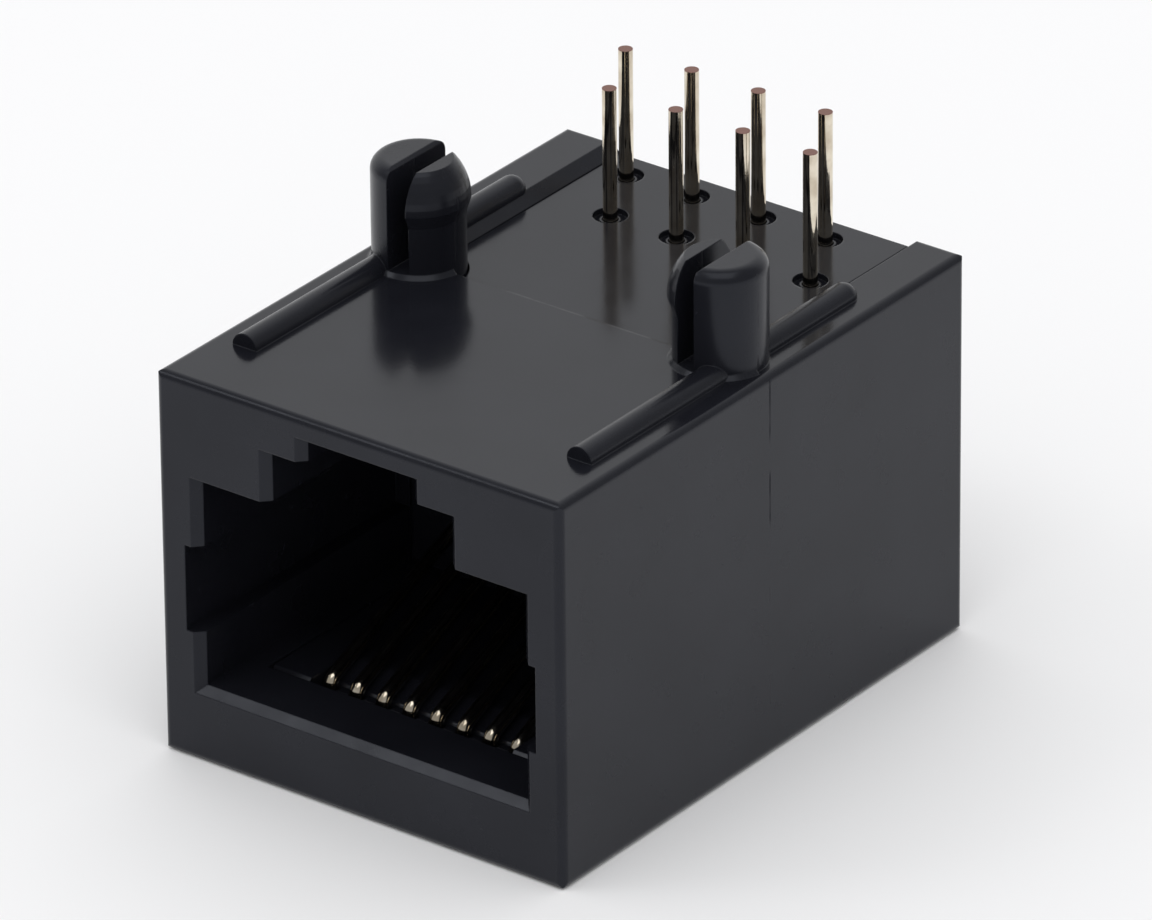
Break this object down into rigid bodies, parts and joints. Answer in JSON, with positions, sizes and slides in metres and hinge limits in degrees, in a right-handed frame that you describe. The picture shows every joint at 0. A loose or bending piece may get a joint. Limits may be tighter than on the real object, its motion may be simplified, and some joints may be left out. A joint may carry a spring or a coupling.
{
  "type": "rj45 board jack",
  "caption": "Right-angle unshielded modular jack for through-hole mounting, with a stepped plug opening, spring wire contacts, split board pegs and standoff ribs.",
  "frame": {"origin": "midway between the two board pegs, on the surface of the circuit board, which the crests of the ribs touch", "axes": "+Z out of the board side, along the pegs and tails; -Y out of the plug opening; +X to the right, seen from the front"},
  "size_m": [0.0152, 0.0206, 0.0171],
  "materials": {
    "housing": "satin moulded black",
    "insert": "satin moulded black",
    "contact_wire": "polished plated wire, pale gold"
  },
  "bodies": {
    "root": {"housing": "housing", "contact_insert": "insert", "contact_1": "contact_wire", "contact_2": "contact_wire", "contact_3": "contact_wire", "contact_4": "contact_wire", "contact_5": "contact_wire", "contact_6": "contact_wire", "contact_7": "contact_wire", "contact_8": "contact_wire"}
  },
  "joints": []
}
